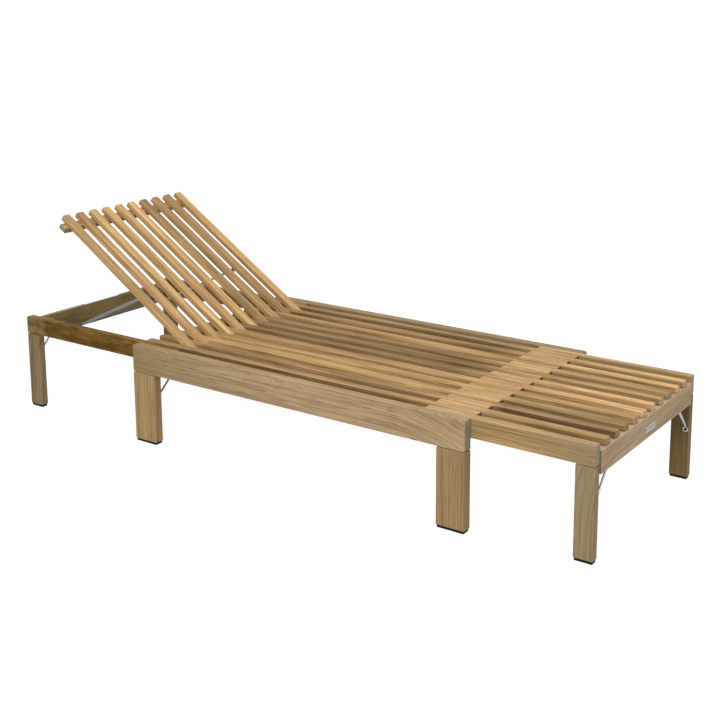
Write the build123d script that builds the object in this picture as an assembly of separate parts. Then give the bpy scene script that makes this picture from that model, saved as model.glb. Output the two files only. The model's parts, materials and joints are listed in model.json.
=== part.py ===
from build123d import *
import math
import os

# A slatted teak sun lounger in millimetres: a fixed middle frame, and a head and a foot section that slide in it.
# X runs from the head end to the foot end, Y from the near side to the far side, Z up from the floor.

# Slats: the middle frame's slats and the sliding slats take turns across the width
slat_width = 27.0
slat_thickness = 18.0
slat_gap = 1.0
slat_side_gap = 1.5
main_slat_count = 11
slat_ease = 2.5

# Rails
seat_height = 300.0
main_length = 1150.0
main_rail_height = 82.0
main_rail_thickness = 30.0
main_rail_corner = 6.0
slide_rail_height = 54.0
slide_rail_thickness = 24.0
slide_rail_corner = 4.0
slide_side_gap = 1.0
edge_ease = 1.5
ease_share_of_thinnest = 0.4

# Legs, their glides and their hidden dowels
main_leg_width = 83.0
slide_leg_width = 52.0
leg_reveal_height = 2.5
leg_reveal_depth = 4.0
glide_height = 7.0
glide_inset = 2.0
dowel_radius = 5.0
dowel_depth = 28.0
dowels_per_leg = 2

# Cross rails and runners
cross_thickness = 24.0
cross_inset = 70.0
end_cross_height = 60.0
foot_cross_thickness = 25.0
foot_cross_proud = 4.0
head_cross_thickness = 16.0
head_cross_drop = 12.0
inner_cross_gap = 3.0
inner_cross_drop = 2.5
runner_height = 14.0
runner_inset = 2.0
runner_gap = 0.3
comb_depth = 1.5
comb_clearance = 1.0
heel_comb_depth = 20.0
stay_comb_depth = 27.0
stop_gap = 2.0
grip_length = 165.0
grip_radius = 9.0
grip_depth = 14.0

# Sliding
head_travel = 350.0
foot_travel = 280.0
foot_slat_length = 473.0
foot_overlap = 137.0

# Backrest
hinge_inset = 137.0
hinge_end_margin = 12.0
backrest_length = 630.0
backrest_heel = 12.0
backrest_end_gap = 4.0
tilt_rest = 33.0
tilt_highest = 50.0
crossbar_width = 26.0
crossbar_thickness = 20.0
crossbar_end_distance = 18.0
crossbar_overhang = 15.5
crossbar_ease = 6.0
rest_block_length = 20.0
rest_block_height = 20.0
rest_gap = 0.3

# Hinge
hinge_tube_radius = 7.5
hinge_pin_radius = 6.0
hinge_fit = 0.05
hinge_pin_depth = 18.0
hinge_pin_engagement = 25.0
hinge_end_gap = 2.0
saddle_length = 20.0
saddle_width = 20.0
saddle_drop = 6.0

# Stay that props the backrest: a bar that rests on two racks, and two legs that hang from the backrest
stay_slat_count = 2
stay_rod_radius = 4.0
stay_reach = 253.0
stay_end_clearance = 33.0
stay_pivot_drop = 9.0
stay_bar_rise = 17.0
stay_flat_drop = 7.0
stay_pin_radius = 3.0
stay_boss_radius = 6.0
stay_boss_width = 8.0
stay_cheek_gap = 0.5
stay_cheek_thickness = 2.5
stay_cheek_radius = 6.5
stay_plate_length = 30.0
stay_plate_thickness = 2.0
rack_thickness = 12.0
rack_clearance = 2.0
rack_step = 7.0
rack_steps_down = 3
rack_steps_up = 2
rack_notch_radius = 2.6

# Braces between the legs and the cross rails
brace_rod_radius = 3.25
brace_eye_radius = 7.5
brace_eye_thickness = 3.0
brace_foot_radius = 8.0
brace_foot_thickness = 2.5
main_brace_run = 85.0
main_brace_fall = 79.0
slide_brace_run = 64.0
slide_brace_fall = 75.0
screw_radius = 2.5
screw_depth = 18.0
screw_head_radius = 4.0
screw_head_height = 2.5
screw_socket_radius = 2.0
screw_socket_depth = 1.5

# Blank plate on the foot cross rail
badge_length = 58.0
badge_height = 14.0
badge_thickness = 1.0
badge_corner = 4.0
badge_drop = 35.0

# Places across the width
slot_pitch = slat_width + slat_gap
main_pitch = 2 * slot_pitch
slide_slat_count = main_slat_count - 1
slot_count = main_slat_count + slide_slat_count
slide_inner_y = (slot_count * slat_width + (slot_count - 1) * slat_gap) / 2 + slat_side_gap
slide_outer_y = slide_inner_y + slide_rail_thickness
main_inner_y = slide_outer_y + slide_side_gap
main_outer_y = main_inner_y + main_rail_thickness
main_slat_ys = [(i - (main_slat_count - 1) / 2) * main_pitch for i in range(main_slat_count)]
slide_slat_ys = [(i - (slide_slat_count - 1) / 2) * main_pitch for i in range(slide_slat_count)]
stay_ys = (slide_slat_ys[stay_slat_count - 1], slide_slat_ys[-stay_slat_count])
sides = {"near": -1, "far": 1}

# Heights
slat_bottom = seat_height - slat_thickness
main_rail_bottom = seat_height - main_rail_height
slide_rail_bottom = seat_height - slide_rail_height
cross_bottom = slat_bottom - end_cross_height
runner_top = slide_rail_bottom - runner_gap
hinge_z = seat_height - slide_rail_height / 2
slat_bottom_above_hinge = slat_bottom - hinge_z

# Places along the length, from the middle of the fixed frame
main_head_x = -main_length / 2
main_foot_x = main_length / 2
head_rail_x = main_head_x + cross_inset
foot_rail_x = main_foot_x - cross_inset
hinge_x = main_head_x + hinge_inset
head_inner_x = hinge_x + hinge_end_margin
head_cross_x = hinge_x - backrest_length - backrest_end_gap
head_end_x = head_cross_x - head_cross_thickness
foot_inner_x = main_foot_x - foot_overlap
foot_end_x = foot_inner_x + foot_slat_length
foot_face_x = foot_end_x + foot_cross_proud
foot_cross_x = foot_face_x - foot_cross_thickness
head_stop_x = head_inner_x + head_travel + stop_gap
foot_stop_x = foot_inner_x - foot_travel - stop_gap
centre_x = (head_end_x + foot_face_x + badge_thickness) / 2

# The stay is as long as lets its bar lie just inside the head cross rail when the backrest is flat
stay_pivot_rise = slat_bottom_above_hinge - stay_pivot_drop
stay_bar_z = slide_rail_bottom + stay_bar_rise
stay_flat_run = hinge_x - stay_reach - head_cross_x - stay_end_clearance
stay_flat_fall = hinge_z + stay_pivot_rise - stay_bar_z + stay_flat_drop
stay_length = math.hypot(stay_flat_run, stay_flat_fall)


def save(name, *shapes):
    """Writes one node, moved so that X is zero at the middle of the whole lounger."""
    placed = [solid.moved(Location((-centre_x, 0, 0))) for shape in shapes for solid in shape.solids()]
    node = placed[0] if len(placed) == 1 else Compound(children=placed)
    node.label = name
    export_step(node, os.path.join("parts", name + ".step"))


def block(x_range, y_range, z_range):
    """A plain box between three pairs of limits."""
    size = [abs(high - low) for low, high in (x_range, y_range, z_range)]
    middle = [(low + high) / 2 for low, high in (x_range, y_range, z_range)]
    return Pos(*middle) * Box(*size)


def board(x_range, y_range, z_range, ease=edge_ease):
    """A sawn board with every edge rounded over."""
    shape = block(x_range, y_range, z_range)
    thinnest = min(abs(high - low) for low, high in (x_range, y_range, z_range))
    return fillet(shape.edges(), min(ease, ease_share_of_thinnest * thinnest))


def rail(x_range, y_range, z_range, corner):
    """A side rail: a board whose two top corners are rounded to a larger radius."""
    shape = block(x_range, y_range, z_range)
    cross_edges = shape.edges().filter_by(Axis.Y).group_by(Axis.Z)
    shape = fillet(cross_edges[-1], corner)
    outlines = shape.faces().sort_by(Axis.Y)[0].edges() + shape.faces().sort_by(Axis.Y)[-1].edges()
    bottom = shape.edges().filter_by(Axis.Y).group_by(Axis.Z)[0]
    return fillet(outlines + bottom, edge_ease)


def rod(start, end, radius):
    """A round bar between two points."""
    start, end = Vector(*start), Vector(*end)
    along = end - start
    return Plane(origin=start, z_dir=along) * Cylinder(
        radius, along.length, align=(Align.CENTER, Align.CENTER, Align.MIN)
    )


def across(side, low, high):
    """A pair of Y limits, given as distances from the middle, on one side of the lounger."""
    return (low, high) if side > 0 else (-high, -low)


def inset(limits, margin):
    """A pair of limits drawn in by a margin at both ends."""
    return limits[0] + margin, limits[1] - margin


def dowel_places(x_range, y_range, joint_z):
    """The dowels of a leg, spread evenly along the middle of its top face."""
    spacing = (x_range[1] - x_range[0]) / dowels_per_leg
    y = (y_range[0] + y_range[1]) / 2
    for number in range(dowels_per_leg):
        x = x_range[0] + spacing * (number + 0.5)
        yield rod((x, y, joint_z - dowel_depth), (x, y, joint_z + dowel_depth), dowel_radius)


def leg(x_range, y_range, joint_z):
    """A leg with a narrower neck that leaves a shadow line under its rail, its glide and its dowels."""
    shoulder_z = joint_z - leg_reveal_height
    wood = board(x_range, y_range, (glide_height, shoulder_z))
    wood += block(inset(x_range, leg_reveal_depth), inset(y_range, leg_reveal_depth), (shoulder_z, joint_z))
    dowels = list(dowel_places(x_range, y_range, joint_z))
    glide = block(inset(x_range, glide_inset), inset(y_range, glide_inset), (0, glide_height))
    glide = fillet(glide.edges().filter_by(Axis.Z), edge_ease)
    return wood - dowels, glide, dowels


def brace(x, side, leg_y, joint_z, run, fall):
    """A bent rod from an eye on the leg's inner face to a foot under the cross rail, and the eye's screw."""
    eye_z = joint_z - fall
    eye_y = leg_y - brace_eye_thickness / 2
    foot_y = leg_y - run
    inside = block((x - fall, x + fall), (foot_y - run, leg_y), (eye_z - fall, joint_z))
    eye = rod((x, leg_y, eye_z), (x, leg_y - brace_eye_thickness, eye_z), brace_eye_radius)
    foot = rod((x, foot_y, joint_z - brace_foot_thickness), (x, foot_y, joint_z), brace_foot_radius)
    rim_z = eye_z + brace_eye_radius - brace_rod_radius / 2
    bar = rod((x, eye_y, rim_z), (x, foot_y, joint_z), brace_rod_radius) & inside
    shank = rod((x, leg_y + screw_depth, eye_z), (x, leg_y - brace_eye_thickness, eye_z), screw_radius)
    head_y = leg_y - brace_eye_thickness - screw_head_height
    head = rod((x, leg_y - brace_eye_thickness, eye_z), (x, head_y, eye_z), screw_head_radius)
    socket = rod((x, head_y + screw_socket_depth, eye_z), (x, head_y, eye_z), screw_socket_radius)
    metal = eye + foot + bar - shank - head
    screw = shank + head - socket
    if side < 0:
        return mirror(metal, Plane.XZ), mirror(screw, Plane.XZ)
    return metal, screw


def comb(rail_shape, x_range, depth, slots=slide_slat_ys):
    """Cuts the slots that let the sliding slats pass over a cross rail."""
    half = slat_width / 2 + comb_clearance
    cuts = [block(x_range, (y - half, y + half), (slat_bottom - depth, seat_height)) for y in slots]
    return rail_shape - cuts


def stay_angles(tilt):
    """The stay leg's slope, in degrees, when the backrest stands at a tilt."""
    rest_fall = stay_pivot_place(tilt_rest)[1] - stay_bar_z
    rest_slope = math.degrees(math.asin(rest_fall / stay_length))
    flat_slope = math.degrees(math.asin(stay_flat_fall / stay_length))
    return rest_slope + (rest_slope - flat_slope) / tilt_rest * (tilt - tilt_rest)


def stay_pivot_place(tilt):
    """Where the stay's pivot is at a tilt."""
    turn = math.radians(tilt)
    x = hinge_x - stay_reach * math.cos(turn) + stay_pivot_rise * math.sin(turn)
    z = hinge_z + stay_reach * math.sin(turn) + stay_pivot_rise * math.cos(turn)
    return x, z


def stay_bar_place(tilt):
    """Where the stay's bar is at a tilt."""
    x, z = stay_pivot_place(tilt)
    slope = math.radians(stay_angles(tilt))
    return x - stay_length * math.cos(slope), z - stay_length * math.sin(slope)


def on_backrest(shape):
    """Carries a shape drawn flat about the hinge axis to the backrest's resting tilt."""
    return Pos(hinge_x, 0, hinge_z) * Rot(0, tilt_rest, 0) * shape


def side_frame(name, x_range, leg_ranges, rail_ys, rail_bottom, corner, side, inner_y, braces):
    """One side rail with its legs, returned with the small pieces of those legs."""
    ys = across(side, *rail_ys)
    rail_shape = rail(x_range, ys, (rail_bottom, seat_height), corner)
    glides, dowels, rods, screws = [], [], [], []
    for label, leg_range in leg_ranges.items():
        wood, glide, pins = leg(leg_range, ys, rail_bottom)
        metal, screw = brace(braces["x"][label], side, inner_y, braces["z"], braces["run"], braces["fall"])
        save(name + "_leg_" + label, wood - screw)
        rail_shape = rail_shape - pins
        glides.append(glide)
        dowels.extend(pins)
        rods.append(metal)
        screws.append(screw)
    return rail_shape, glides, dowels, rods, screws


def save_small(body, glides, dowels, rods, screws):
    """Writes a body's glides, dowels, braces and screws, each kind as one group."""
    save(body + "_glides", *glides)
    save(body + "_leg_dowels", *dowels)
    save(body + "_braces", *rods)
    save(body + "_brace_screws", *screws)


def main_frame():
    """The fixed middle: two deep rails on four legs, cross rails, runners and slats."""
    small = [[], [], [], []]
    legs = {
        "head": (main_head_x, main_head_x + main_leg_width),
        "foot": (main_foot_x - main_leg_width, main_foot_x),
    }
    braces = {
        "x": {"head": head_rail_x, "foot": foot_rail_x},
        "z": main_rail_bottom,
        "run": main_brace_run,
        "fall": main_brace_fall,
    }
    for side_name, side in sides.items():
        named_legs = {end + "_" + side_name: x_range for end, x_range in legs.items()}
        braces_here = dict(braces, x={end + "_" + side_name: x for end, x in braces["x"].items()})
        rail_shape, *pieces = side_frame(
            "main", (main_head_x, main_foot_x), named_legs, (main_inner_y, main_outer_y),
            main_rail_bottom, main_rail_corner, side, main_inner_y, braces_here,
        )
        save("main_rail_" + side_name, rail_shape)
        for kept, more in zip(small, pieces):
            kept.extend(more)
    save_small("main", *small)

    half = cross_thickness / 2
    for name, x, upper_y in (
        ("main_end_rail_head", head_rail_x, slide_inner_y - rack_thickness - rack_clearance),
        ("main_end_rail_foot", foot_rail_x, slide_inner_y - rack_clearance),
    ):
        x_range = (x - half, x + half)
        lower = block(x_range, (-main_inner_y, main_inner_y), (main_rail_bottom, runner_top))
        upper = block(x_range, (-upper_y, upper_y), (runner_top, slat_bottom))
        shape = comb(lower + upper, x_range, comb_depth)
        if x < 0:
            shape = comb(shape, x_range, stay_comb_depth, stay_ys)
        save(name, shape)

    runner_range = (head_rail_x + half, foot_rail_x - half)
    save("main_runners", *[
        block(runner_range, across(side, slide_inner_y + runner_inset, main_inner_y),
              (runner_top - runner_height, runner_top))
        for side in sides.values()
    ])
    full_width = (-main_inner_y, main_inner_y)
    head_range = (head_stop_x, head_stop_x + cross_thickness)
    foot_range = (foot_stop_x - cross_thickness, foot_stop_x)
    save("main_centre_rail_head", comb(block(head_range, full_width, (runner_top, slat_bottom)),
                                       head_range, heel_comb_depth))
    save("main_centre_rail_foot", block(foot_range, full_width, (runner_top, slat_bottom)))
    for number, y in enumerate(main_slat_ys, 1):
        save("main_slat_%02d" % number, slat((main_head_x, main_foot_x), y))


def slat(x_range, y):
    """One slat of the seat, with its top at seat height."""
    half = slat_width / 2
    return board(x_range, (y - half, y + half), (slat_bottom, seat_height), slat_ease)


def head_section():
    """The sliding head end: rails, legs, cross rails, hinge pins, racks and the blocks the backrest lies on."""
    small = [[], [], [], []]
    legs_x = (head_end_x, head_end_x + slide_leg_width)
    brace_x = head_end_x + head_cross_thickness / 2
    pins, racks, rests = [], [], []
    for side_name, side in sides.items():
        braces = {"x": {side_name: brace_x}, "z": cross_bottom, "run": slide_brace_run, "fall": slide_brace_fall}
        rail_shape, *pieces = side_frame(
            "head", (head_end_x, head_inner_x), {side_name: legs_x}, (slide_inner_y, slide_outer_y),
            slide_rail_bottom, slide_rail_corner, side, slide_inner_y, braces,
        )
        pin = rod((hinge_x, side * (slide_inner_y - hinge_end_gap - hinge_pin_engagement), hinge_z),
                  (hinge_x, side * (slide_inner_y + hinge_pin_depth), hinge_z), hinge_pin_radius)
        save("head_rail_" + side_name, rail_shape - pin)
        pins.append(pin)
        racks.append(rack(side))
        outer_slat = slide_slat_ys[-1] * side
        rests.append(board(
            (head_cross_x, head_cross_x + rest_block_length),
            (outer_slat - slat_width / 2, outer_slat + slat_width / 2),
            (slat_bottom - rest_gap - rest_block_height, slat_bottom - rest_gap),
        ))
        for kept, more in zip(small, pieces):
            kept.extend(more)
    save_small("head", *small)
    save("hinge_pins", *pins)
    save("stay_racks", *racks)
    save("backrest_rests", *rests)

    full_width = (-slide_inner_y, slide_inner_y)
    top = seat_height - head_cross_drop
    cross = board((head_end_x, head_cross_x), full_width, (cross_bottom, top))
    grip_half = grip_length / 2 - grip_radius
    grip_floor = top - grip_depth + grip_radius
    grip = rod((head_end_x, -grip_half, grip_floor), (head_end_x, grip_half, grip_floor), grip_radius)
    grip += block((head_end_x - grip_radius, head_end_x + grip_radius), (-grip_half, grip_half), (grip_floor, top))
    for y in (-grip_half, grip_half):
        grip += Pos(head_end_x, y, grip_floor) * Sphere(grip_radius)
        grip += rod((head_end_x, y, grip_floor), (head_end_x, y, top), grip_radius)
    save("head_cross_rail", cross - grip)
    inner_x = head_rail_x + cross_thickness / 2 + inner_cross_gap
    save("head_inner_rail", block((inner_x, inner_x + cross_thickness), full_width,
                                  (slide_rail_bottom, slat_bottom - inner_cross_drop)))


def rack(side):
    """A notched strip on a head rail. Its crest follows the stay's bar as the backrest tilts."""
    steps = [k / 2 for k in range(-2 * rack_steps_down - 1, 2 * rack_steps_up + 2)]
    drop = stay_rod_radius + rest_gap
    crest = []
    for step in steps:
        x, z = stay_bar_place(tilt_rest + step * rack_step)
        crest.append((x, z - drop))
    outline = [(crest[0][0], slide_rail_bottom), *crest, (crest[-1][0], slide_rail_bottom)]
    y = side * slide_inner_y
    plane = Plane(origin=(0, y, 0), x_dir=(1, 0, 0), z_dir=(0, -1, 0))
    strip = extrude(plane * make_face(Polyline(*outline, close=True)), side * rack_thickness)
    notches = []
    for step in range(-rack_steps_down, rack_steps_up + 1):
        x, z = stay_bar_place(tilt_rest + step * rack_step)
        notches.append(rod((x, y, z - drop), (x, y - side * rack_thickness, z - drop), rack_notch_radius))
    return strip - notches


def foot_section():
    """The sliding foot end: rails, legs, cross rails, slats and the blank plate."""
    small = [[], [], [], []]
    legs_x = (foot_end_x - slide_leg_width, foot_end_x)
    brace_x = foot_cross_x + foot_cross_thickness / 2
    for side_name, side in sides.items():
        braces = {"x": {side_name: brace_x}, "z": cross_bottom, "run": slide_brace_run, "fall": slide_brace_fall}
        rail_shape, *pieces = side_frame(
            "foot", (foot_inner_x, foot_end_x), {side_name: legs_x}, (slide_inner_y, slide_outer_y),
            slide_rail_bottom, slide_rail_corner, side, slide_inner_y, braces,
        )
        save("foot_rail_" + side_name, rail_shape)
        for kept, more in zip(small, pieces):
            kept.extend(more)
    save_small("foot", *small)

    full_width = (-slide_inner_y, slide_inner_y)
    save("foot_cross_rail", board((foot_cross_x, foot_face_x), full_width, (cross_bottom, slat_bottom)))
    inner_x = foot_rail_x - cross_thickness / 2 - inner_cross_gap
    inner_range = (inner_x - cross_thickness, inner_x)
    inner = block(inner_range, full_width, (slide_rail_bottom, slat_bottom))
    save("foot_inner_rail", comb(inner, inner_range, inner_cross_drop, main_slat_ys))
    save("foot_slats", *[slat((foot_inner_x, foot_end_x), y) for y in slide_slat_ys])
    badge_z = slat_bottom - badge_drop
    badge = block((foot_face_x, foot_face_x + badge_thickness), (-badge_length / 2, badge_length / 2),
                  (badge_z - badge_height / 2, badge_z + badge_height / 2))
    save("blank_badge", fillet(badge.edges().filter_by(Axis.X), badge_corner))


def backrest():
    """The tilting slats with their crossbar, hinge tube, saddles and the brackets of the stay."""
    under = slat_bottom_above_hinge
    slats = []
    for y in slide_slat_ys:
        slats.append(board((-backrest_length, backrest_heel), (y - slat_width / 2, y + slat_width / 2),
                           (under, under + slat_thickness), slat_ease))
    save("backrest_slats", *[on_backrest(piece) for piece in slats])

    bar_start = -backrest_length + crossbar_end_distance
    bar_y = slide_slat_ys[-1] + slat_width / 2 + crossbar_overhang
    bar = block((bar_start, bar_start + crossbar_width), (-bar_y, bar_y), (under - crossbar_thickness, under))
    end_edges = bar.faces().sort_by(Axis.Y)[0].edges() + bar.faces().sort_by(Axis.Y)[-1].edges()
    lower_edges = end_edges.filter_by(Axis.X).group_by(Axis.Z)[0]
    bar = chamfer(lower_edges, crossbar_ease)
    save("backrest_crossbar", on_backrest(fillet(bar.edges().filter_by(Axis.Y), edge_ease)))

    tube_end = slide_inner_y - hinge_end_gap
    tube = rod((0, -tube_end, 0), (0, tube_end, 0), hinge_tube_radius)
    bore = rod((0, -tube_end, 0), (0, tube_end, 0), hinge_pin_radius + hinge_fit)
    save("hinge_tube", on_backrest(tube - bore))
    saddle_half = saddle_length / 2
    saddles = [
        block((-saddle_half, saddle_half), (y - saddle_width / 2, y + saddle_width / 2), (under - saddle_drop, under))
        - tube
        for y in slide_slat_ys
    ]
    save("hinge_saddles", *[on_backrest(piece) for piece in saddles])

    brackets, pins = [], []
    for y in stay_ys:
        bracket, pin = stay_bracket(y)
        brackets.append(on_backrest(bracket))
        pins.append(on_backrest(pin))
    save("stay_brackets", *brackets)
    save("stay_pins", *pins)


def stay_bracket(y):
    """A small clevis under a backrest slat, with the pin that the stay's leg turns on."""
    under = slat_bottom_above_hinge
    pivot_z = under - stay_pivot_drop
    inner = stay_boss_width / 2 + stay_cheek_gap
    outer = inner + stay_cheek_thickness
    half_plate = stay_plate_length / 2
    clevis = block((-stay_reach - half_plate, -stay_reach + half_plate), (y - outer, y + outer),
                   (under - stay_plate_thickness, under))
    for side in sides.values():
        low, high = y + side * inner, y + side * outer
        clevis += rod((-stay_reach, low, pivot_z), (-stay_reach, high, pivot_z), stay_cheek_radius)
        clevis += block((-stay_reach - stay_cheek_radius, -stay_reach + stay_cheek_radius),
                        (min(low, high), max(low, high)), (pivot_z, under))
    pin = rod((-stay_reach, y - outer, pivot_z), (-stay_reach, y + outer, pivot_z), stay_pin_radius)
    return clevis - pin, pin


def stay():
    """The stay: a bar across the head rails' racks, with two legs up to the backrest."""
    bar_x, bar_z = stay_bar_place(tilt_rest)
    pivot_x, pivot_z = stay_pivot_place(tilt_rest)
    bar_end = slide_inner_y - rack_clearance
    bar = rod((bar_x, -bar_end, bar_z), (bar_x, bar_end, bar_z), stay_rod_radius)
    save("stay_bar", bar)
    half = stay_boss_width / 2
    for side_name, y in zip(sides, stay_ys):
        leg_rod = rod((bar_x, y, bar_z), (pivot_x, y, pivot_z), stay_rod_radius)
        boss = rod((pivot_x, y - half, pivot_z), (pivot_x, y + half, pivot_z), stay_boss_radius)
        bore = rod((pivot_x, y - half, pivot_z), (pivot_x, y + half, pivot_z), stay_pin_radius + hinge_fit)
        save("stay_leg_" + side_name, leg_rod + boss - bore - bar)


def print_joints():
    """Prints what the joints need, in the lounger's own frame."""
    print("hinge", hinge_x - centre_x, hinge_z)
    pivot_x, pivot_z = stay_pivot_place(tilt_rest)
    print("stay pivot", pivot_x - centre_x, pivot_z)
    print("stay turn per backrest turn", -(1 + (stay_angles(tilt_rest) - stay_angles(0)) / tilt_rest))
    for tilt in (0, tilt_rest / 2, tilt_rest, tilt_highest):
        x, z = stay_bar_place(tilt)
        print("bar at tilt", tilt, round(x, 1), round(z, 1))


os.makedirs("parts", exist_ok=True)
main_frame()
head_section()
foot_section()
backrest()
stay()
print_joints()
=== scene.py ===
# %% [markdown]
# # A slatted teak sun lounger
# The frame of this lesson is a finished model of a lounger: a middle frame on four wide legs, and a head
# and a foot section that slide into it. Every board of that model is already in place at its real size, in
# metres. The lesson gives each board its wood, remakes the rows of slats, and sets a pale studio round it.

# %% Load the frame
import json
import math

import bmesh
import bpy
from mathutils import Euler, Matrix, Vector


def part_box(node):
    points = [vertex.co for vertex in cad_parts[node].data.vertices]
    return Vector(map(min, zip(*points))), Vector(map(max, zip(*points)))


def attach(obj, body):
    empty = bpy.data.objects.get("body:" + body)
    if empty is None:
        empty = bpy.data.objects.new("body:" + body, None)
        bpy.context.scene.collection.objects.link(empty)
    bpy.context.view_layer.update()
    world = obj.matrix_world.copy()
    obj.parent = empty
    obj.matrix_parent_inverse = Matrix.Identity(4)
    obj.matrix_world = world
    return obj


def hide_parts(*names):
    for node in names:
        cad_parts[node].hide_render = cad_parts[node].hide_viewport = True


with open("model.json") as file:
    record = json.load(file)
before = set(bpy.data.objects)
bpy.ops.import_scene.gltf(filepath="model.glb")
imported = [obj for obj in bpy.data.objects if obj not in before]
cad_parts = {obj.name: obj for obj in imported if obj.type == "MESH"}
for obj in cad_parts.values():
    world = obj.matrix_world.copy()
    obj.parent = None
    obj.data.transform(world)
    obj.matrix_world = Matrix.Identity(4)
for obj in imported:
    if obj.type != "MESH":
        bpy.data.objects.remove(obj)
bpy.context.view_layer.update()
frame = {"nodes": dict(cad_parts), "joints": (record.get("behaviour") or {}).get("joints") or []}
nodes = frame["nodes"]

# %% [markdown]
# ## Helpers
# Colours are easiest to choose as the hex values that a paint chart or a picture editor shows. Shaders work
# in linear light, so one function turns the first into the second. The next helper adds a node to any tree,
# sets what is a plain value, and links what is another node. With it a node tree reads like a recipe. The
# last one starts a material with nothing in it but its output.

# %% Helpers


def linear(hex_colour):
    """An sRGB hex colour as linear red, green, blue and alpha."""
    channels = [int(hex_colour[place:place + 2], 16) / 255 for place in (1, 3, 5)]
    return (*(c / 12.92 if c <= 0.04045 else ((c + 0.055) / 1.055) ** 2.4 for c in channels), 1.0)


def add(tree, kind, inputs=None, **settings):
    """Adds one node. An input that is a node or a socket is linked, and anything else is set."""
    made = tree.nodes.new(kind)
    for key, value in settings.items():
        setattr(made, key, value)
    for key, value in (inputs or {}).items():
        if isinstance(value, bpy.types.Node):
            value = value.outputs[0]
        if isinstance(value, bpy.types.NodeSocket):
            tree.links.new(value, made.inputs[key])
        else:
            made.inputs[key].default_value = value
    return made


def new_material(name):
    """An empty node material, with its tree and its output node."""
    material = bpy.data.materials.new(name)
    material.use_nodes = True
    material.node_tree.nodes.clear()
    output = add(material.node_tree, "ShaderNodeOutputMaterial")
    return material, material.node_tree, output


print("white in linear light:", linear("#ffffff"))

# %% [markdown]
# ## Oiled teak
# Teak is sawn out of a round trunk, so its grain is not a picture on each face: it is one set of rings that
# runs through the whole board, and each face shows a cut through them. A long face along the trunk shows
# nearly straight lines, a face that grazes a ring shows tall arches, and an end shows short arcs.
# An image would slide at every corner, so the rings are worked out in three dimensions, as the distance from
# a line beside the board that stands for the middle of the trunk. That line leans, and noise bends it.
# Everything is measured in millimetres from the middle of the board, along its grain, across and through it.

# %% Teak: where a point lies in its board
MILLIMETRES = 1000.0
BACKREST_TILT = math.radians(33)
GRAIN_TURNS = {
    "length": Euler((0, 0, 0)),
    "across": Euler((0, 0, -math.pi / 2)),
    "upright": Euler((0, math.pi / 2, 0)),
    "backrest": Euler((0, -BACKREST_TILT, 0)),
}
SEED_STEP = Vector((913.0, 71.0, 37.0))


def board_place(tree, grain, centre, seed, sweep):
    """The surface's normal, a place in the board, and the same place moved to wood of the board's own."""
    coords = add(tree, "ShaderNodeTexCoord")
    turn = GRAIN_TURNS[grain]
    board = add(tree, "ShaderNodeMapping", {
        "Vector": coords.outputs["Object"], "Rotation": turn, "Scale": (MILLIMETRES,) * 3,
        "Location": turn.to_matrix() @ (Vector(centre) * -MILLIMETRES),
    })
    if sweep:
        # The whole grain curves away towards one end of the board, as it does near a branch
        start, end, drop = sweep
        along = add(tree, "ShaderNodeSeparateXYZ", {0: board})
        reach = add(tree, "ShaderNodeMapRange", {0: along, 1: start, 2: end})
        bend = add(tree, "ShaderNodeMath", {0: reach, 1: 2.0}, operation="POWER")
        bend = add(tree, "ShaderNodeVectorMath", {0: bend, 1: (0, 0, drop)}, operation="MULTIPLY")
        board = add(tree, "ShaderNodeVectorMath", {0: board, 1: bend}, operation="ADD")
    seeded = add(tree, "ShaderNodeVectorMath", {0: board, 1: SEED_STEP * seed}, operation="ADD")
    return coords.outputs["Normal"], board, seeded


print("ways the grain can run:", list(GRAIN_TURNS))

# %% [markdown]
# A row of slats is one mesh with one material, so that material has to tell its slats apart. It could be
# done with a material for each slat, which would be 31 of them. Here the place across the lounger, divided
# by the pitch, gives each slat a number. The number moves it to wood of its own, and picks its tones from a
# ramp with one stop for each slat: red holds the tone of its top, and green the tone of its sides. The tone
# of the sides is painted light and shade: it makes each side darker or lighter than its top.

# %% Teak: slats of a row
SIDE_SPAN = (0.5, 0.9)


def row_place(tree, board, seeded, look):
    """A place in a slat, the same in wood of its own, the tones of its top and its sides (painted light and
    shade), and its chance.
    """
    tones = look["tones"]
    axes = add(tree, "ShaderNodeSeparateXYZ", {0: board})
    steps = add(tree, "ShaderNodeMath", {0: axes.outputs[1], 1: look["pitch"]}, operation="DIVIDE")
    place = add(tree, "ShaderNodeMath", {0: steps, 1: len(tones) / 2}, operation="ADD")
    number = add(tree, "ShaderNodeMath", {0: place}, operation="FLOOR")
    middle = add(tree, "ShaderNodeMath", {0: number, 1: 0.5 - len(tones) / 2}, operation="ADD")
    across = add(tree, "ShaderNodeMath", {0: steps, 1: middle}, operation="SUBTRACT")
    across = add(tree, "ShaderNodeMath", {0: across, 1: look["pitch"]}, operation="MULTIPLY")
    slat = add(tree, "ShaderNodeCombineXYZ", {0: axes.outputs[0], 1: across, 2: axes.outputs[2]})
    jump = add(tree, "ShaderNodeVectorMath", {0: number, 1: SEED_STEP}, operation="MULTIPLY")
    seeded = add(tree, "ShaderNodeVectorMath", {0: seeded, 1: jump}, operation="ADD")
    share = add(tree, "ShaderNodeMath", {0: place, 1: len(tones)}, operation="DIVIDE")
    shades = add(tree, "ShaderNodeValToRGB", {0: share})
    shades.color_ramp.interpolation = "CONSTANT"
    stops = shades.color_ramp.elements
    while len(stops) < len(tones):
        stops.new(1.0)
    for count, (top_tone, painted_side_tone) in enumerate(zip(tones, look["sides"])):
        stops[count].position = count / len(tones)
        stops[count].color = (top_tone, painted_side_tone, 0, 1)
    shades = add(tree, "ShaderNodeSeparateColor", {0: shades})
    chance = add(tree, "ShaderNodeTexWhiteNoise", {"W": number}, noise_dimensions="1D")
    return slat, seeded, shades.outputs, chance.outputs["Color"]


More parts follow.
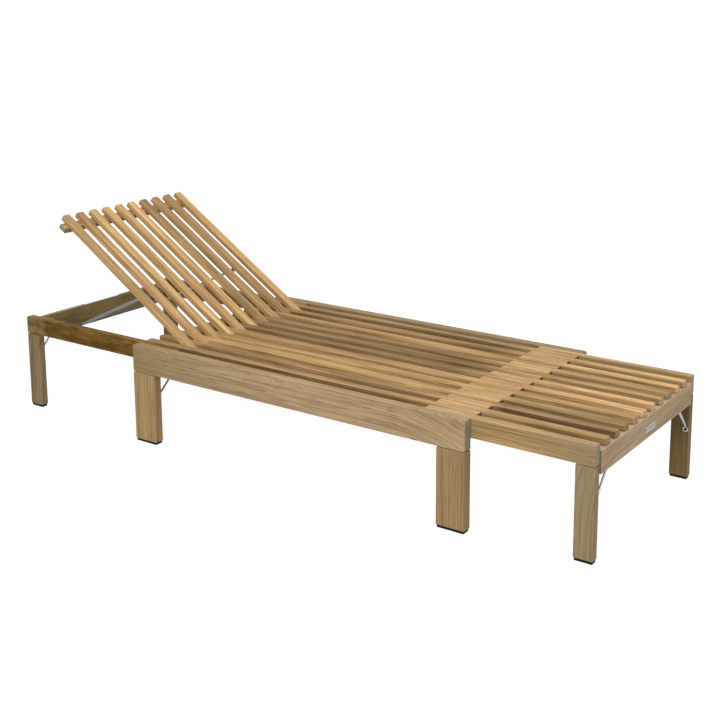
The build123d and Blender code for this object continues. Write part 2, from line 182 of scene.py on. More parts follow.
def slat_tone(tree, board, normal, shades, look):
    """How light a point of a slat is. Tops and sides differ, a painted light and shade, and one end may be
    painted lighter to an even tone, a painted light.
    """
    # Painted light and shade: the sides of a slat take a tone of their own, darker or lighter than its top.
    facing = add(tree, "ShaderNodeVectorMath", {0: normal, 1: (0, 1, 0)}, operation="DOT_PRODUCT")
    sides = add(tree, "ShaderNodeMath", {0: facing.outputs["Value"]}, operation="ABSOLUTE")
    side_mask = add(tree, "ShaderNodeMapRange", {0: sides, 1: SIDE_SPAN[0], 2: SIDE_SPAN[1]})
    tone = add(tree, "ShaderNodeMix", {0: side_mask, 2: shades[0], 3: shades[1]})
    # Painted light: towards one end the tone is lifted to one even value, where the row lies in the lit
    # band.
    if look.get("painted_light_band"):
        start, stop, painted_light_tone = look["painted_light_band"]
        along = add(tree, "ShaderNodeSeparateXYZ", {0: board})
        reach = add(tree, "ShaderNodeMapRange", {0: along, 1: start, 2: stop})
        tone = add(tree, "ShaderNodeMix", {0: reach, 2: tone, 3: painted_light_tone})
    return tone


print("sides of a slat start where the normal leans by:", SIDE_SPAN)

# %% [markdown]
# The rings come next. Each ring starts with a thin dark line of open pores and then pales. Some rings were
# good years and some were poor ones, so each has a strength of its own, and the spacing is uneven.
# Real rings are 2 to 4 mm apart. In a picture of the whole lounger a pixel is over 2 mm wide, so they are
# drawn coarser here, 4.6 mm at least, where they still show.

# %% Teak: rings
HALF = (0.5, 0.5, 0.5)
WAVES_PER_MM = (0.0035, 0.022, 0.022)
UNEVEN_RINGS = 2.4
RING_LINE = 0.9
RING_BODY = ((0.22, 0.1), (0.6, 0.25))
POOR_YEAR = 0.25


def growth_rings(tree, board, seeded, chance, look):
    """How dark the rings make a point, from 0 to 1."""
    wave_place = add(tree, "ShaderNodeVectorMath", {0: seeded, 1: WAVES_PER_MM}, operation="MULTIPLY")
    wave = add(tree, "ShaderNodeTexNoise", {
        "Vector": wave_place, "Scale": 1.0, "Detail": 2.0, "Roughness": 0.45,
    })
    waver = add(tree, "ShaderNodeVectorMath", {0: wave.outputs["Color"], 1: HALF}, operation="SUBTRACT")
    waver = add(tree, "ShaderNodeVectorMath", {0: waver, 1: (0, look["waver"], look["waver"])},
                operation="MULTIPLY")
    along = add(tree, "ShaderNodeSeparateXYZ", {0: board}).outputs[0]
    lean = add(tree, "ShaderNodeVectorMath", {0: along, 1: (0, *look["lean"])}, operation="MULTIPLY")
    from_pith = add(tree, "ShaderNodeVectorMath", {0: board, 1: (0, *look["pith"])}, operation="SUBTRACT")
    from_pith = add(tree, "ShaderNodeVectorMath", {0: from_pith, 1: waver}, operation="ADD")
    from_pith = add(tree, "ShaderNodeVectorMath", {0: from_pith, 1: lean}, operation="ADD")
    if chance:
        swing = add(tree, "ShaderNodeVectorMath", {0: chance, 1: HALF}, operation="SUBTRACT")
        swing = add(tree, "ShaderNodeVectorMath", {0: swing, 1: (0, look["swing"], look["swing"])},
                    operation="MULTIPLY")
        from_pith = add(tree, "ShaderNodeVectorMath", {0: from_pith, 1: swing}, operation="ADD")
    across = add(tree, "ShaderNodeVectorMath", {0: from_pith, 1: (0, 1, 1)}, operation="MULTIPLY")
    radius = add(tree, "ShaderNodeVectorMath", {0: across}, operation="LENGTH").outputs["Value"]
    turns = add(tree, "ShaderNodeMath", {0: radius, 1: look["ring"]}, operation="DIVIDE")
    uneven = add(tree, "ShaderNodeTexNoise", {"W": turns, "Scale": 0.4, "Detail": 1.0},
                 noise_dimensions="1D")
    turns = add(tree, "ShaderNodeMath", {0: uneven, 1: UNEVEN_RINGS, 2: turns}, operation="MULTIPLY_ADD")
    year = add(tree, "ShaderNodeMath", {0: turns}, operation="FLOOR")
    within = add(tree, "ShaderNodeMath", {0: turns, 1: year}, operation="SUBTRACT")
    line = add(tree, "ShaderNodeValToRGB", {0: within})
    line.color_ramp.interpolation = "EASE"
    for stop in line.color_ramp.elements:
        stop.color = (RING_LINE, RING_LINE, RING_LINE, 1)
    for position, value in RING_BODY:
        line.color_ramp.elements.new(position).color = (value, value, value, 1)
    year_chance = add(tree, "ShaderNodeTexWhiteNoise", {"W": year}, noise_dimensions="1D")
    strength = add(tree, "ShaderNodeMapRange", {0: year_chance, 3: POOR_YEAR, 4: 1.0})
    return add(tree, "ShaderNodeMath", {0: line, 1: strength}, operation="MULTIPLY")


print("lengths of the rings' waves in mm:", [round(1 / part) for part in WAVES_PER_MM])

# %% [markdown]
# Bare wood is light wood darkened by its rings, by streaks, by fibres and by a slow drift of tone. Each of
# these is a noise drawn out along the grain, with the length and width of its marks in millimetres. Real
# fibres and pores are far finer than a pixel, so they are drawn as coarse as they need to be to show.

# %% Teak: bare wood
NOISE_SIZES = {
    "streak": (320.0, 4.5),
    "fibre": (180.0, 3.2),
    "pore": (62.0, 2.8),
    "drift": (380.0, 34.0),
    "patch": (58.0, 19.0),
}
TONE_SPAN = (0.33, 0.67)


def grain_noise(tree, seeded, kind, detail):
    """Noise drawn out along the grain, with marks of a known length and width."""
    length, width = NOISE_SIZES[kind]
    place = add(tree, "ShaderNodeVectorMath", {0: seeded, 1: (1 / length, 1 / width, 1 / width)},
                operation="MULTIPLY")
    return add(tree, "ShaderNodeTexNoise", {
        "Vector": place, "Scale": 1.0, "Detail": detail, "Roughness": 0.55,
    })


def bare_wood(tree, seeded, rings, fibre, light, dark, look):
    """The colour of wood with nothing on it, between its light and its dark tone."""
    darkness = add(tree, "ShaderNodeMath", {0: rings, 1: look["figure"]}, operation="MULTIPLY")
    for noise, share in (
        (grain_noise(tree, seeded, "streak", 1.0), look["streak"]),
        (fibre, look["fibre"]),
        (grain_noise(tree, seeded, "drift", 2.0), look["drift"]),
    ):
        part = add(tree, "ShaderNodeMapRange", {0: noise, 1: TONE_SPAN[0], 2: TONE_SPAN[1], 4: share})
        darkness = add(tree, "ShaderNodeMath", {0: darkness, 1: part}, operation="ADD")
    darkness = add(tree, "ShaderNodeClamp", {0: darkness})
    wood = add(tree, "ShaderNodeMix", {0: darkness, 6: linear(light), 7: linear(dark)}, data_type="RGBA")
    return wood.outputs[2]


print("marks along the grain, length and width in mm:", NOISE_SIZES)

# %% [markdown]
# Then come the marks of use and weather, as thin layers of colour, each with a mask, and with them some
# painted light and shade. Sawn ends soak up more weather than faces do and go grey; on a few boards the end
# colour is dark, a painted shade. Edges are rubbed paler, which also paints the highlights along them: a
# Bevel node rounds the normal near an edge, so where it departs from the true normal there is an edge. Some
# boards fade towards one end, some have dark patches, and some have their top painted darker, a painted
# shade.

# %% Teak: weather, wear and painted light and shade
# The paler edges are partly wear and partly a painted highlight along every edge.
EDGE_WEAR_AND_HIGHLIGHT = 0.003
EDGE_SPAN = (0.97, 0.8)
END_SPAN = (0.6, 0.9)
PATCH_SPAN = (0.45, 0.6)
PAINTED_TOP_SHADE_SPAN = (0.4, 0.8)


def worn_and_highlit_edges(tree):
    """A mask of the edges that hands and feet rub; the paler colour it carries also paints the highlights
    along them.
    """
    eased = add(tree, "ShaderNodeBevel", {"Radius": EDGE_WEAR_AND_HIGHLIGHT}, samples=4)
    sharp = add(tree, "ShaderNodeNewGeometry").outputs["Normal"]
    kept = add(tree, "ShaderNodeVectorMath", {0: eased, 1: sharp}, operation="DOT_PRODUCT")
    return add(tree, "ShaderNodeMapRange", {0: kept.outputs["Value"], 1: EDGE_SPAN[0], 2: EDGE_SPAN[1]})


def sawn_ends(tree, grain, normal):
    """A mask of the faces that look along the grain."""
    axis = GRAIN_TURNS[grain].to_matrix().transposed() @ Vector((1, 0, 0))
    facing = add(tree, "ShaderNodeVectorMath", {0: normal, 1: axis}, operation="DOT_PRODUCT")
    ends = add(tree, "ShaderNodeMath", {0: facing.outputs["Value"]}, operation="ABSOLUTE")
    return add(tree, "ShaderNodeMapRange", {0: ends, 1: END_SPAN[0], 2: END_SPAN[1]})


def faded_end(tree, board, look):
    """A layer that colours one end of the board, if its look has one."""
    if not look.get("fade"):
        return []
    full, none = look["fade"]
    along = add(tree, "ShaderNodeSeparateXYZ", {0: board})
    fade_mask = add(tree, "ShaderNodeMapRange", {0: along, 1: full, 2: none, 3: 1.0, 4: 0.0})
    return [(fade_mask, look["fade_share"], look["fade_colour"])]


def patches_and_painted_top_shade(tree, normal, seeded, look):
    """Layers for dark patches and a top painted darker as painted shade, if the board's look has them."""
    layers = []
    if look.get("patches"):
        patch = grain_noise(tree, seeded, "patch", 3.0)
        patch_mask = add(tree, "ShaderNodeMapRange", {0: patch, 1: PATCH_SPAN[0], 2: PATCH_SPAN[1]})
        layers.append((patch_mask, look["patches"], look["patch_colour"]))
    # Painted shade: faces that look up are darkened towards a brown, so the rail's top is no brighter than
    # its front.
    if look.get("painted_top_shade"):
        up = add(tree, "ShaderNodeSeparateXYZ", {0: normal}).outputs[2]
        painted_top_shade_mask = add(tree, "ShaderNodeMapRange", {0: up, 1: PAINTED_TOP_SHADE_SPAN[0], 2: PAINTED_TOP_SHADE_SPAN[1]})
        layers.append((painted_top_shade_mask, look["painted_top_shade"], look["painted_top_shade_colour"]))
    return layers


print("worn edges in mm:", EDGE_WEAR_AND_HIGHLIGHT * MILLIMETRES)

# %% [markdown]
# The material puts these together: bare wood, then the layers, then the tone of the slat, which paints light
# and shade onto its sides and onto one band of the row. The fibres and pores also stand out a little as
# relief. The oil leaves a low, uneven gloss.

# %% Teak: the material
PORE_SPAN = (0.6, 0.7)
NOISE_SPAN = (0.3, 0.7)
HUE_SPAN = (0.498, 0.508)
GRAIN_DEPTH = 0.0004
GRAIN_RELIEF = 0.35
OILED_GLOSS = (0.52, 0.7)
TEAK_IOR = 1.48


def teak(name, grain, centre, seed, light, dark, end, look):
    """A solid teak material. look holds the board's own figure, all of it in millimetres and shares."""
    material, tree, output = new_material(name)
    normal, board, seeded = board_place(tree, grain, centre, seed, look.get("sweep"))
    shades, chance = None, None
    if look.get("tones"):
        board, seeded, shades, chance = row_place(tree, board, seeded, look)
    rings = growth_rings(tree, board, seeded, chance, look)
    fibre = grain_noise(tree, seeded, "fibre", 2.0)
    pores = grain_noise(tree, seeded, "pore", 1.0)
    pores = add(tree, "ShaderNodeMapRange", {0: pores, 1: PORE_SPAN[0], 2: PORE_SPAN[1]})
    ends = sawn_ends(tree, grain, normal)
    end_lines = add(tree, "ShaderNodeMath", {0: ends, 1: rings}, operation="MULTIPLY")
    colour = bare_wood(tree, seeded, rings, fibre, light, dark, look)
    for mask, share, mark_colour in (
        *faded_end(tree, board, look),
        (pores, look["pores"], look["pore_colour"]),
        (worn_and_highlit_edges(tree), look["edge_wear_and_highlight"], look["edge_colour"]),
        *patches_and_painted_top_shade(tree, normal, seeded, look),
        (ends, look["end_grey"], end),
        (end_lines, look["end_lines"], look["end_line_colour"]),
    ):
        cover = add(tree, "ShaderNodeMath", {0: mask, 1: share}, operation="MULTIPLY")
        mixed = add(tree, "ShaderNodeMix", {0: cover, 6: colour, 7: linear(mark_colour)}, data_type="RGBA")
        colour = mixed.outputs[2]
    # The slat's tone paints light and shade onto its sides and onto one band of the row.
    if shades:
        tone = slat_tone(tree, board, normal, shades, look)
        hue = add(tree, "ShaderNodeSeparateColor", {0: chance})
        hue = add(tree, "ShaderNodeMapRange", {0: hue, 3: HUE_SPAN[0], 4: HUE_SPAN[1]})
        colour = add(tree, "ShaderNodeHueSaturation", {"Hue": hue, "Value": tone, "Color": colour})
    height = add(tree, "ShaderNodeMath", {0: fibre, 1: pores}, operation="SUBTRACT")
    bump = add(tree, "ShaderNodeBump", {
        "Strength": GRAIN_RELIEF, "Distance": GRAIN_DEPTH, "Height": height,
    })
    gloss = add(tree, "ShaderNodeMapRange", {
        0: fibre, 1: NOISE_SPAN[0], 2: NOISE_SPAN[1], 3: OILED_GLOSS[0], 4: OILED_GLOSS[1],
    })
    surface = add(tree, "ShaderNodeBsdfPrincipled", {
        "Base Color": colour, "Roughness": gloss, "Normal": bump, "IOR": TEAK_IOR,
        "Specular IOR Level": look["shine"],
    })
    tree.links.new(surface.outputs[0], output.inputs["Surface"])
    return material


print("roughness of oiled teak:", OILED_GLOSS)

# %% [markdown]
# ## A finish for every board
# No two boards come out of the same log. One material for the whole frame would show it as one block, so
# each board gets a number of its own that moves it to other wood, and colours and a look from a short list.
# The deep near rail is pale and silvery. Its grain arches towards the foot end, its head end is browner, and
# its top is painted darker, a painted shade. The legs are warmer. The near rail of the head section is a
# dark brown board with patches and a paler end, and the leg under it has thin dark veins. The near rail of
# the foot section greys towards its end. The boards under the bed and on the far side are a darker brown, a
# painted shade, and the ends of the foot section's cross rail are dark, a painted shade of the gap beside
# them.

# %% Boards: colours and looks
SILVERY = {"light": "#ccaf88", "dark": "#8c7250", "end": "#8a8272"}
HONEY = {"light": "#caa976", "dark": "#836840", "end": "#98948b"}
TAN = {"light": "#b19166", "dark": "#806743", "end": "#8f8470"}
DUSTY = {"light": "#a68f6c", "dark": "#7a694c", "end": "#8f8470"}
# The end colour here is dark: a painted shade of the gap beside the foot section's cross rail.
PALE = {"light": "#cfb48f", "dark": "#8f7654", "end": "#5e5340"}
# Painted shade: a darker brown for the boards under the bed and on the far side, darker than the same wood
# near the camera.
SHADE_PAINTED_BROWN = {"light": "#96794c", "dark": "#66502e", "end": "#857a62"}
BROWN = {"light": "#957434", "dark": "#5f4418", "end": "#66563a"}
DUN = {"light": "#a89068", "dark": "#6e5b3d", "end": "#857a62"}
OLIVE = {"light": "#9b8758", "dark": "#63512e", "end": "#66563a"}
DRY_SHINE = 0.1
PLAIN_LOOK = {
    "ring": 6.0, "waver": 16.0, "lean": (0.012, 0.006), "pith": (30.0, -110.0),
    "figure": 0.35, "streak": 0.28, "fibre": 0.45, "drift": 0.35, "shine": 0.3,
    "pores": 0.4, "pore_colour": "#5f4a2c", "edge_wear_and_highlight": 0.2, "edge_colour": "#dcc39a",
    "end_grey": 0.7, "end_lines": 0.55, "end_line_colour": "#453d31",
}
LEG_LOOK = {**PLAIN_LOOK, "figure": 0.2, "streak": 0.22, "fibre": 0.4, "drift": 0.3}
RAIL_LOOK = {
    **PLAIN_LOOK, "ring": 4.6, "waver": 12.0, "lean": (0.0, 0.008), "pith": (20.0, -150.0),
    "figure": 0.42, "streak": 0.22, "fibre": 0.6, "drift": 0.22, "pores": 0.75,
    # Painted shade on the rail's top: a darker brown over the faces that look up.
    "sweep": (330.0, 600.0, 62.0), "painted_top_shade": 0.45, "painted_top_shade_colour": "#7d6238",
    "fade": (-575.0, -60.0), "fade_share": 0.7, "fade_colour": "#8b764c",
}
BROWN_LOOK = {
    **PLAIN_LOOK, "ring": 8.0, "waver": 55.0, "lean": (0.05, 0.16), "figure": 0.5, "shine": DRY_SHINE,
    "patches": 0.62, "patch_colour": "#4b330c",
    "fade": (-265.0, -238.0), "fade_share": 0.7, "fade_colour": "#97805a",
}
VEINED_LOOK = {
    **PLAIN_LOOK, "ring": 11.0, "waver": 48.0, "lean": (0.2, 0.12),
    "figure": 0.95, "streak": 0.12, "fibre": 0.3,
}
FOOT_RAIL_LOOK = {
    **PLAIN_LOOK, "pith": (40.0, -60.0),
    "fade": (200.0, 40.0), "fade_share": 0.6, "fade_colour": "#8e795b",
}
print("marks that every board has:", len(PLAIN_LOOK))

# %% [markdown]
# The list gives each board the way its grain runs, its colours and its look. A board's place in the list is
# also the number that moves it to wood of its own.

# %% Boards: the list
BOARDS = {
    "main_rail_near": ("length", SILVERY, RAIL_LOOK),
    "main_rail_far": ("length", DUN, {**RAIL_LOOK, "pith": (-60.0, -120.0)}),
    "main_leg_head_near": ("upright", HONEY, LEG_LOOK),
    "main_leg_head_far": ("upright", SHADE_PAINTED_BROWN, PLAIN_LOOK),
    "main_leg_foot_near": ("upright", TAN, {**LEG_LOOK, "pith": (30.0, -60.0)}),
    "main_leg_foot_far": ("upright", SHADE_PAINTED_BROWN, PLAIN_LOOK),
    "main_end_rail_head": ("across", SHADE_PAINTED_BROWN, PLAIN_LOOK),
    "main_end_rail_foot": ("across", SHADE_PAINTED_BROWN, PLAIN_LOOK),
    "main_centre_rail_head": ("across", SHADE_PAINTED_BROWN, PLAIN_LOOK),
    "main_centre_rail_foot": ("across", SHADE_PAINTED_BROWN, PLAIN_LOOK),
    "main_runners": ("length", SHADE_PAINTED_BROWN, PLAIN_LOOK),
    "main_leg_dowels": ("upright", HONEY, PLAIN_LOOK),
    "head_rail_near": ("length", BROWN, BROWN_LOOK),
    "head_rail_far": ("length", BROWN, PLAIN_LOOK),
    "head_cross_rail": ("across", OLIVE, {**PLAIN_LOOK, "pith": (60.0, 10.0), "lean": (0.06, 0.02)}),
    "head_inner_rail": ("across", SHADE_PAINTED_BROWN, PLAIN_LOOK),
    "head_leg_near": ("upright", DUN, VEINED_LOOK),
    "head_leg_far": ("upright", SHADE_PAINTED_BROWN, PLAIN_LOOK),
    "head_leg_dowels": ("upright", HONEY, PLAIN_LOOK),
    "stay_racks": ("length", SHADE_PAINTED_BROWN, PLAIN_LOOK),
    "backrest_rests": ("length", SHADE_PAINTED_BROWN, PLAIN_LOOK),
    "foot_rail_near": ("length", HONEY, FOOT_RAIL_LOOK),
    "foot_rail_far": ("length", HONEY, PLAIN_LOOK),
    "foot_cross_rail": ("across", PALE, {**PLAIN_LOOK, "figure": 0.15, "streak": 0.2}),
    "foot_inner_rail": ("across", SHADE_PAINTED_BROWN, PLAIN_LOOK),
    "foot_leg_near": ("upright", DUSTY, {**LEG_LOOK, "sweep": (-60.0, 130.0, 26.0)}),
    "foot_leg_far": ("upright", SHADE_PAINTED_BROWN, PLAIN_LOOK),
    "foot_leg_dowels": ("upright", HONEY, PLAIN_LOOK),
    "backrest_crossbar": ("across", HONEY, PLAIN_LOOK),
    "hinge_saddles": ("backrest", SHADE_PAINTED_BROWN, PLAIN_LOOK),
}


def dress(node, material):
    """Gives a piece of the frame its finish."""
    nodes[node].data.materials.clear()
    nodes[node].data.materials.append(material)


for seed, (node, (grain, colours, look)) in enumerate(BOARDS.items(), 1):
    low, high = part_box(node)
    dress(node, teak("oiled teak " + node, grain, (low + high) / 2, seed, look=look, **colours))
print("boards with their own wood:", len(BOARDS))

# %% [markdown]
# ## The rows of slats
# The bed is three rows of the same slat: one in the middle frame, one in the foot section and one in the
# backrest. The sliding rows stand in the gaps of the fixed one, so the pitch has to be exact.
# They could be copied by hand, but a row that follows a rule is what Geometry Nodes are for: a line of
# points, a bar on each point, and one turn and one move for the whole row.

# %% The slat row tree
ROW_INPUTS = {
    "Count": "NodeSocketInt",
    "Pitch": "NodeSocketFloat",
    "Size": "NodeSocketVector",
    "Offset": "NodeSocketVector",
    "Turn": "NodeSocketVector",
    "Pivot": "NodeSocketVector",
    "Finish": "NodeSocketMaterial",
}


def slat_row_tree():
    """A tree that lays bars side by side about the X axis, then turns the row and moves it to its pivot."""
    tree = bpy.data.node_groups.new("slat row", "GeometryNodeTree")
    tree.is_modifier = True
    tree.interface.new_socket("Geometry", in_out="OUTPUT", socket_type="NodeSocketGeometry")
    for name, kind in ROW_INPUTS.items():
        tree.interface.new_socket(name, in_out="INPUT", socket_type=kind)
    given = add(tree, "NodeGroupInput").outputs
    steps = add(tree, "ShaderNodeMath", {0: given["Count"], 1: 1.0}, operation="SUBTRACT")
    width = add(tree, "ShaderNodeMath", {0: steps, 1: given["Pitch"]}, operation="MULTIPLY")
    half = add(tree, "ShaderNodeMath", {0: width, 1: -0.5}, operation="MULTIPLY")
    start = add(tree, "ShaderNodeCombineXYZ", {1: half})
    step = add(tree, "ShaderNodeCombineXYZ", {1: given["Pitch"]})
    line = add(tree, "GeometryNodeMeshLine", {
        "Count": given["Count"], "Start Location": start, "Offset": step,
    })
    bar = add(tree, "GeometryNodeMeshCube", {"Size": given["Size"]})
    row = add(tree, "GeometryNodeInstanceOnPoints", {"Points": line, "Instance": bar})
    real = add(tree, "GeometryNodeRealizeInstances", {"Geometry": row})
    drawn = add(tree, "GeometryNodeTransform", {"Geometry": real, "Translation": given["Offset"]})
    turned = add(tree, "GeometryNodeTransform", {
        "Geometry": drawn, "Rotation": given["Turn"], "Translation": given["Pivot"],
    })
    finished = add(tree, "GeometryNodeSetMaterial", {"Geometry": turned, "Material": given["Finish"]})
    add(tree, "NodeGroupOutput", {"Geometry": finished})
    return tree


row_tree = slat_row_tree()
print("inputs of the row:", list(ROW_INPUTS))

# %% [markdown]
# The tree is put on an object as a modifier. A Bevel modifier after it rounds the bars' edges, as a router
# would, and the result is made a plain mesh, because an export drops instances and live modifiers.

# %% Growing a row
SLAT_EASE = 0.0025
EASE_SEGMENTS = 3


def grow_row(name, inputs):
    """An object whose plain mesh comes from the row tree, with its edges rounded."""
    piece = bpy.data.objects.new(name, bpy.data.meshes.new(name))
    bpy.context.scene.collection.objects.link(piece)
    modifier = piece.modifiers.new("grow", "NODES")
    modifier.node_group = row_tree
    for item in row_tree.interface.items_tree:
        if item.in_out == "INPUT":
            modifier[item.identifier] = inputs[item.name]
    bevel = piece.modifiers.new("ease", "BEVEL")
    bevel.width = SLAT_EASE
    bevel.segments = EASE_SEGMENTS
    bevel.limit_method = "ANGLE"
    evaluated = piece.evaluated_get(bpy.context.evaluated_depsgraph_get())
    mesh = bpy.data.meshes.new_from_object(evaluated)
    piece.modifiers.clear()
    piece.data = mesh
    mesh.name = piece.name
    return piece


first_low, first_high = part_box("main_slat_01")
second_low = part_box("main_slat_02")[0]
slat_pitch = second_low.y - first_low.y
slat_size = first_high - first_low
print("pitch in mm:", round(slat_pitch * MILLIMETRES, 2))

# %% [markdown]
# Each row was cut from a batch of its own, so each has its own colours. Planks of unlike tone lie side by
# side in it, so it also has two lists of tones, for the tops and for the sides of its slats, from the near
# side to the far side. The tones of the sides are painted light and shade, darker or lighter than the tops.
# The rows of the seat and the foot section are drier than the frame, so they shine less. In the band where
# these two rows close up, both are painted lighter to one even tone, a painted light. The first side of the
# seat lies deep in the slot beside the rail and is painted dark, a painted shade. The ends of the seat's
# slats are near black: dark end grain, with painted shade of the gaps they face.

# %% Slats: the flat rows
SLAT_LOOK = {
    **PLAIN_LOOK, "ring": 5.0, "swing": 130.0, "pith": (0.0, -90.0), "waver": 10.0,
    "figure": 0.36, "streak": 0.3, "fibre": 0.4, "drift": 0.3,
    "pores": 0.45, "pore_colour": "#6a4d2a", "end_grey": 0.7, "end_lines": 0.25,
}
# The seat's end colour is near black: dark end grain, and painted shade of the gaps its ends face.
SEAT_COLOURS = {"light": "#d9af7d", "dark": "#785931", "end": "#2e2117"}
SEAT_TONES = (0.77, 0.62, 0.9, 0.75, 0.76, 0.46, 0.56, 0.52, 0.86, 0.66, 0.68)
# Painted light and shade: the tone of each seat slat's sides; the first, in the slot beside the rail, is a
# painted shade.
SEAT_SIDE_LIGHT_AND_SHADE = (0.44, 0.74, 1.24, 1.2, 1.05, 0.55, 0.57, 0.7, 1.1, 0.7, 0.46)
# Painted light: from 330 to 470 mm along the seat its tone rises to an even 1.0.
SEAT_PAINTED_LIGHT_BAND = (330.0, 470.0, 1.0)
SEAT_SEED = 41
FOOT_COLOURS = {"light": "#d9b180", "dark": "#74552c", "end": "#bba58e"}
FOOT_TONES = (0.79, 0.66, 0.66, 0.98, 1.34, 1.44, 1.05, 0.83, 1.5, 1.12)
# Painted light and shade: the tone of each foot slat's sides, darker or lighter than its top.
FOOT_SIDE_LIGHT_AND_SHADE = (0.8, 0.35, 0.65, 0.95, 1.35, 1.1, 0.75, 0.9, 1.05, 0.7)
# Painted light: the foot row's end in the band is lifted to an even tone.
FOOT_PAINTED_LIGHT_BAND = (-70.0, -120.0, 1.02)
FOOT_SEED = 43


def slat_finish(name, grain, centre, seed, colours, look):
    """The teak of one row of slats."""
    look = {**SLAT_LOOK, "pitch": slat_pitch * MILLIMETRES, **look}
    return teak(name, grain, centre, seed, look=look, **colours)


def flat_row(name, body, replaced, box, seed, colours, look):
    """A row of slats that lies flat in the bed."""
    low, high = box
    centre = (low + high) / 2
    finish = slat_finish("oiled teak " + name, "length", centre, seed, colours, look)
    size = (high.x - low.x, slat_size.y, slat_size.z)
    row = grow_row(name, {
        "Count": len(look["tones"]), "Pitch": slat_pitch, "Size": size, "Offset": (0, 0, 0),
        "Turn": (0, 0, 0), "Pivot": centre, "Finish": finish,
    })
    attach(row, body)
    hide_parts(*replaced)


seat_names = ["main_slat_%02d" % number for number in range(1, len(SEAT_TONES) + 1)]
seat_box = (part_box(seat_names[0])[0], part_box(seat_names[-1])[1])
seat_look = {"tones": SEAT_TONES, "sides": SEAT_SIDE_LIGHT_AND_SHADE, "painted_light_band": SEAT_PAINTED_LIGHT_BAND, "shine": DRY_SHINE}
flat_row("seat_slats", "main_frame", seat_names, seat_box, SEAT_SEED, SEAT_COLOURS, seat_look)
foot_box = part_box("foot_slats")
foot_look = {"tones": FOOT_TONES, "sides": FOOT_SIDE_LIGHT_AND_SHADE, "painted_light_band": FOOT_PAINTED_LIGHT_BAND, "shine": DRY_SHINE}
flat_row("foot_end_slats", "foot_section", ["foot_slats"], foot_box, FOOT_SEED, FOOT_COLOURS, foot_look)
print("slats that lie flat:", len(SEAT_TONES) + len(FOOT_TONES))

# %% [markdown]
# The backrest's row is made flat about its hinge, where its slats fill the gaps of the seat, and then turned
# up to its place. Its sides are all of one tone, a painted light that makes them lighter than its tops.

# %% Slats: the backrest
BACKREST_COLOURS = {"light": "#d9b07b", "dark": "#785931", "end": "#bba58e"}
BACKREST_TONES = (0.74, 0.93, 1.0, 1.18, 1.0, 1.18, 0.67, 0.77, 0.73, 1.18)
# Painted light: one tone for the sides of all backrest slats, lighter than their tops.
BACKREST_SIDE_LIGHT_AND_SHADE = 1.2
BACKREST_SEED = 47
BACKREST_REACH = 0.630
BACKREST_HEEL = 0.012

hinge = Vector(next(joint["pos_m"] for joint in frame["joints"] if joint["name"] == "backrest_tilt"))
seat_top = first_high.z
backrest_length = BACKREST_REACH + BACKREST_HEEL
backrest_offset = (BACKREST_HEEL - backrest_length / 2, 0, seat_top - slat_size.z / 2 - hinge.z)
backrest_look = {"tones": BACKREST_TONES, "sides": [BACKREST_SIDE_LIGHT_AND_SHADE] * len(BACKREST_TONES)}
backrest_finish = slat_finish("oiled teak backrest", "backrest", hinge, BACKREST_SEED, BACKREST_COLOURS,
                              backrest_look)
backrest_row = grow_row("backrest_row", {
    "Count": len(BACKREST_TONES), "Pitch": slat_pitch, "Size": (backrest_length, slat_size.y, slat_size.z),
    "Offset": backrest_offset, "Turn": (0, BACKREST_TILT, 0), "Pivot": hinge, "Finish": backrest_finish,
})
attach(backrest_row, "backrest")
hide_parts("backrest_slats")
print("slats of the backrest:", len(BACKREST_TONES), "length in mm:", backrest_length * MILLIMETRES)

# %% [markdown]
# ## Stainless fittings
# The braces and the stay are drawn stainless rod, bright but not mirror-like: the die leaves faint lines on
# the rod, which blur what it reflects. One even roughness would look like chrome or like paint, so a fine
# noise varies it. The stay is duller than the braces, and its bar and brackets are painted darker still, a
# painted shade. The screws are dark. The small plate has a polished rim, and its field is brushed along its
# length.

# %% Fittings
DRAWN_LINE = 1.2
EVEN_LINES = (1.0, 1.0, 1.0)
BRUSHED_LINES = (1.0, 30.0, 0.6)


def steel(name, colour, rough_low, rough_high, stretch=EVEN_LINES):
    """Stainless steel whose roughness varies in fine lines; stretch gives their size along X, Y and Z."""
    material, tree, output = new_material(name)
    coords = add(tree, "ShaderNodeTexCoord")
    scale = [MILLIMETRES / (DRAWN_LINE * part) for part in stretch]
    lines = add(tree, "ShaderNodeMapping", {"Vector": coords.outputs["Object"], "Scale": scale})
    noise = add(tree, "ShaderNodeTexNoise", {"Vector": lines, "Scale": 1.0, "Detail": 2.0})
    rough = add(tree, "ShaderNodeMapRange", {
        0: noise, 1: NOISE_SPAN[0], 2: NOISE_SPAN[1], 3: rough_low, 4: rough_high,
    })
    surface = add(tree, "ShaderNodeBsdfPrincipled", {
        "Base Color": linear(colour), "Metallic": 1.0, "Roughness": rough,
    })
    tree.links.new(surface.outputs[0], output.inputs["Surface"])
    return material


rod_steel = steel("drawn stainless rod", "#b4b6b6", 0.22, 0.36)
stay_steel = steel("dull stainless stay", "#898d90", 0.28, 0.42)
